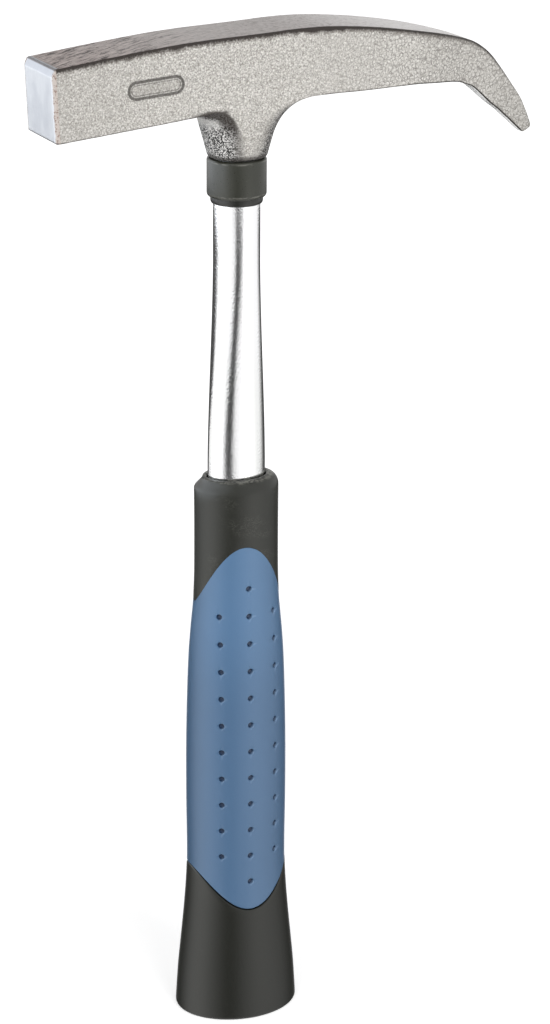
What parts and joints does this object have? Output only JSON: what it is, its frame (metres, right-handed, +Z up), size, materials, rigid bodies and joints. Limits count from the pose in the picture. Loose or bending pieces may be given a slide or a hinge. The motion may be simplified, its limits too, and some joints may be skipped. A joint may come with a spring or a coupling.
{
  "type": "manhole cover hammer",
  "caption": "Forged hammer head with a square poll and a hooked pointed beak, on a steel tube handle with a two-colour moulded grip.",
  "frame": {"origin": "middle of the flat underside of the grip's butt", "axes": "+Z up the handle, +X towards the beak, -Y out of the front cheek, which has the blank panel"},
  "size_m": [0.1889, 0.0376, 0.3666],
  "materials": {
    "forged_steel": "shot-blasted forged steel with a ground striking face",
    "chromed_steel": "bright plated",
    "raw_steel": "plain turned",
    "stopper_plastic": "matte",
    "collar_plastic": "satin",
    "grip_black": "satin with a fine grain",
    "grip_blue": "satin soft-touch"
  },
  "bodies": {
    "root": {"hammer_head": "forged_steel", "handle_tube": "chromed_steel", "wedge_plug": "raw_steel", "foot_stopper": "stopper_plastic", "neck_collar": "collar_plastic", "collar_ring": "collar_plastic", "grip_core": "grip_black", "grip_sleeve": "grip_blue"}
  },
  "joints": []
}
